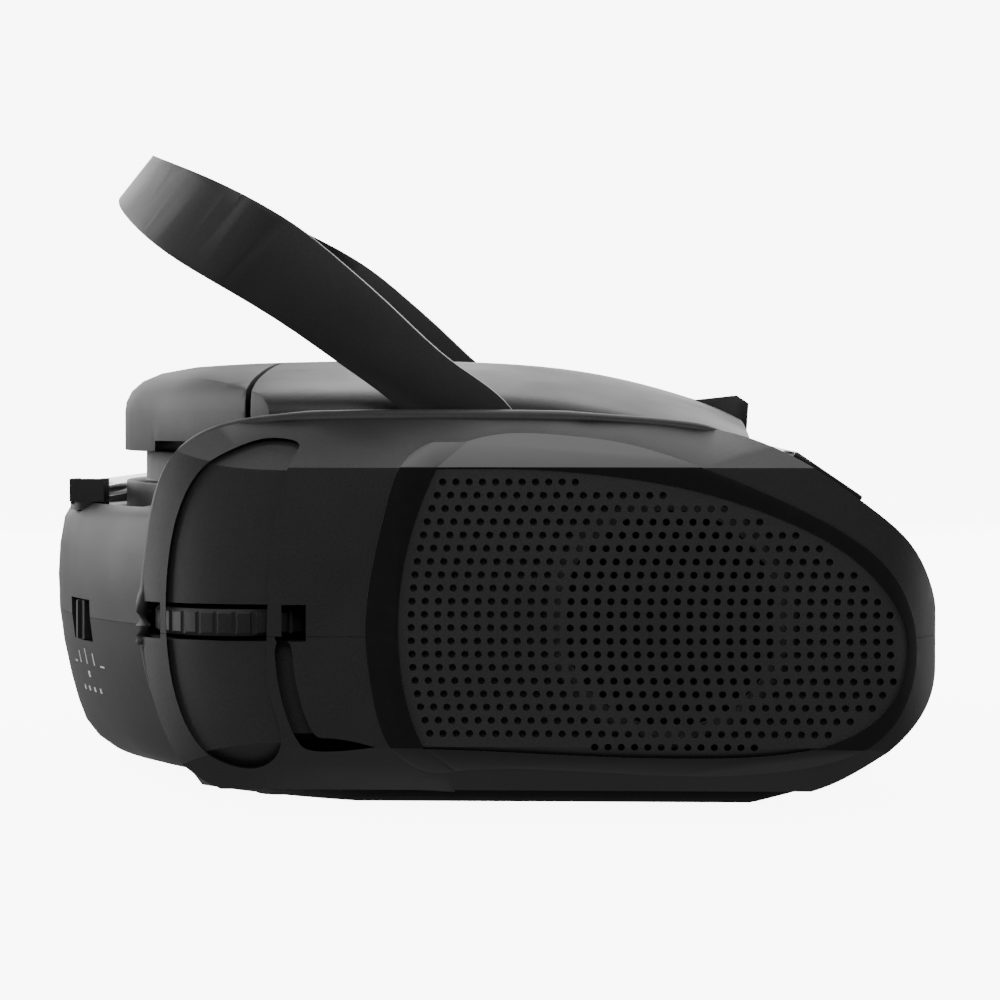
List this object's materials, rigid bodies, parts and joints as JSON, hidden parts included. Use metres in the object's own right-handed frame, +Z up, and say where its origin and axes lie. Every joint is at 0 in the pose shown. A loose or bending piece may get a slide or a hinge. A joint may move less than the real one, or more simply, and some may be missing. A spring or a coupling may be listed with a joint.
{
  "type": "boombox",
  "caption": "Compact black CD and radio boombox with raised carrying handle, curved side grilles, domed disc lid and folded antenna.",
  "frame": {"origin": "middle of the footprint, on the plane the rubber feet stand on", "axes": "+Z up, front faces -Y, +X is the listener's right; the handle swings about X"},
  "size_m": [0.2906, 0.255, 0.1806],
  "materials": {
    "matte_black_abs": "fine spark-eroded texture, matte",
    "handle_abs": "smooth satin matte",
    "gloss_black": "polished piano black",
    "grille_steel": "perforated steel, matte black powder coat",
    "display_window": "smoked acrylic, polished",
    "key_plastic": "satin",
    "control_plastic": "satin moulded black",
    "chrome": "polished chrome plate",
    "steel": "bright zinc-plated steel",
    "paper_cone": "black coated paper",
    "circuit_board": "phenolic paper board, satin",
    "component_plastic": "moulded nylon, matte",
    "rubber": "matte",
    "copper_winding": "taped winding"
  },
  "bodies": {
    "root": {"aux_jack": "component_plastic", "band_switch_body": "component_plastic", "base_skirt": "matte_black_abs", "battery_bay": "matte_black_abs", "battery_springs": "steel", "cd_well": "matte_black_abs", "display_lens": "display_window", "display_module": "component_plastic", "drive_chassis": "steel", "function_switch_body": "component_plastic", "guide_rods": "steel", "handle_pivot_pins": "steel", "key_board": "circuit_board", "left_crescent_trim": "gloss_black", "left_grille": "grille_steel", "left_speaker_basket": "steel", "left_speaker_cone": "paper_cone", "left_speaker_magnet": "component_plastic", "left_speaker_surround": "gloss_black", "lid_hinge_pin": "steel", "lower_housing": "matte_black_abs", "main_board": "circuit_board", "mains_inlet": "component_plastic", "rear_neck": "matte_black_abs", "rear_top_cover": "matte_black_abs", "right_crescent_trim": "gloss_black", "right_grille": "grille_steel", "right_speaker_basket": "steel", "right_speaker_cone": "paper_cone", "right_speaker_magnet": "component_plastic", "right_speaker_surround": "gloss_black", "rubber_feet": "rubber", "sled_motor": "steel", "spindle_motor": "steel", "transformer": "copper_winding", "tuning_capacitor": "component_plastic", "upper_housing": "matte_black_abs", "volume_pot": "component_plastic"},
    "handle": {"handle": "handle_abs", "handle_grip_cover": "handle_abs"},
    "lid": {"cd_lid": "matte_black_abs"},
    "volume_wheel": {"volume_wheel": "control_plastic"},
    "tuning_wheel": {"tuning_wheel": "control_plastic"},
    "function_knob": {"function_switch_knob": "control_plastic"},
    "band_knob": {"band_switch_knob": "control_plastic"},
    "antenna_swivel": {"antenna_base": "control_plastic"},
    "antenna_outer": {"antenna_outer_tube": "chrome"},
    "antenna_middle": {"antenna_middle_tube": "chrome"},
    "antenna_end": {"antenna_tip": "chrome"},
    "spindle": {"spindle_hub": "control_plastic", "spindle_shaft": "steel"},
    "sled": {"laser_sled": "component_plastic"},
    "sled_gear": {"sled_gear": "component_plastic"},
    "battery_door": {"battery_door": "matte_black_abs"},
    "key_previous": {"key_previous": "key_plastic"},
    "key_play": {"key_play": "key_plastic"},
    "key_next": {"key_next": "key_plastic"},
    "key_stop": {"key_stop": "key_plastic"},
    "key_memory": {"key_memory": "key_plastic"},
    "key_repeat": {"key_repeat": "key_plastic"}
  },
  "joints": [
    {"name": "handle_swing", "type": "hinge", "parent": "root", "child": "handle", "pos_m": [0, -0.008, 0.097], "axis": [1, 0, 0], "range_deg": [-30, 50]},
    {"name": "lid_swing", "type": "hinge", "parent": "root", "child": "lid", "pos_m": [0, 0.056, 0.1182], "axis": [-1, 0, 0], "range_deg": [0, 40]},
    {"name": "volume_turn", "type": "hinge", "parent": "root", "child": "volume_wheel", "pos_m": [-0.12043, 0.0567, 0.0505], "axis": [0, 0, 1], "range_deg": [-140, 140]},
    {"name": "tuning_turn", "type": "hinge", "parent": "root", "child": "tuning_wheel", "pos_m": [0.12043, 0.0567, 0.0505], "axis": [0, 0, 1], "range_deg": [-90, 90]},
    {"name": "function_slide", "type": "slide", "parent": "root", "child": "function_knob", "axis": [0.8949, 0.4462, 0], "range_m": [-0.0032, 0.0032]},
    {"name": "band_slide", "type": "slide", "parent": "root", "child": "band_knob", "axis": [0.8949, -0.4462, 0], "range_m": [-0.0032, 0.0032]},
    {"name": "antenna_turn", "type": "hinge", "parent": "root", "child": "antenna_swivel", "pos_m": [-0.052, 0.111, 0.084], "axis": [0, 0, 1], "range_deg": [0, 100]},
    {"name": "antenna_tilt", "type": "hinge", "parent": "antenna_swivel", "child": "antenna_outer", "pos_m": [-0.052, 0.111, 0.084], "axis": [0, -1, 0], "range_deg": [0, 90]},
    {"name": "antenna_pull_middle", "type": "slide", "parent": "antenna_outer", "child": "antenna_middle", "axis": [1, 0, 0], "range_m": [0, 0.085]},
    {"name": "antenna_pull_end", "type": "slide", "parent": "antenna_middle", "child": "antenna_end", "axis": [1, 0, 0], "range_m": [0, 0.085]},
    {"name": "spindle_spin", "type": "hinge", "parent": "root", "child": "spindle", "pos_m": [0, -0.011, 0.085], "axis": [0, 0, 1], "continuous": true},
    {"name": "sled_travel", "type": "slide", "parent": "root", "child": "sled", "axis": [1, 0, 0], "range_m": [0, 0.031]},
    {"name": "sled_gear_turn", "type": "hinge", "parent": "root", "child": "sled_gear", "pos_m": [0.048, 0.0178, 0.0804], "axis": [0, 0, 1], "range_deg": [-5, 240]},
    {"name": "battery_door_release", "type": "slide", "parent": "root", "child": "battery_door", "axis": [0, 0, -1], "range_m": [0, 0.03]},
    {"name": "key_previous_press", "type": "slide", "parent": "root", "child": "key_previous", "axis": [0, 0.6798, -0.7334], "range_m": [0, 0.0012], "stiffness_N_per_m": 400, "springref_m": -0.001},
    {"name": "key_play_press", "type": "slide", "parent": "root", "child": "key_play", "axis": [0, 0.6798, -0.7334], "range_m": [0, 0.0012], "stiffness_N_per_m": 400, "springref_m": -0.001},
    {"name": "key_next_press", "type": "slide", "parent": "root", "child": "key_next", "axis": [0, 0.6798, -0.7334], "range_m": [0, 0.0012], "stiffness_N_per_m": 400, "springref_m": -0.001},
    {"name": "key_stop_press", "type": "slide", "parent": "root", "child": "key_stop", "axis": [0, 0.8412, -0.5408], "range_m": [0, 0.0012], "stiffness_N_per_m": 400, "springref_m": -0.001},
    {"name": "key_memory_press", "type": "slide", "parent": "root", "child": "key_memory", "axis": [0, 0.8412, -0.5408], "range_m": [0, 0.0012], "stiffness_N_per_m": 400, "springref_m": -0.001},
    {"name": "key_repeat_press", "type": "slide", "parent": "root", "child": "key_repeat", "axis": [0, 0.8412, -0.5408], "range_m": [0, 0.0012], "stiffness_N_per_m": 400, "springref_m": -0.001}
  ],
  "couplings": [
    {"joint": "sled_gear_turn", "follows": "sled_travel", "rad_per_m": 117.6}
  ]
}
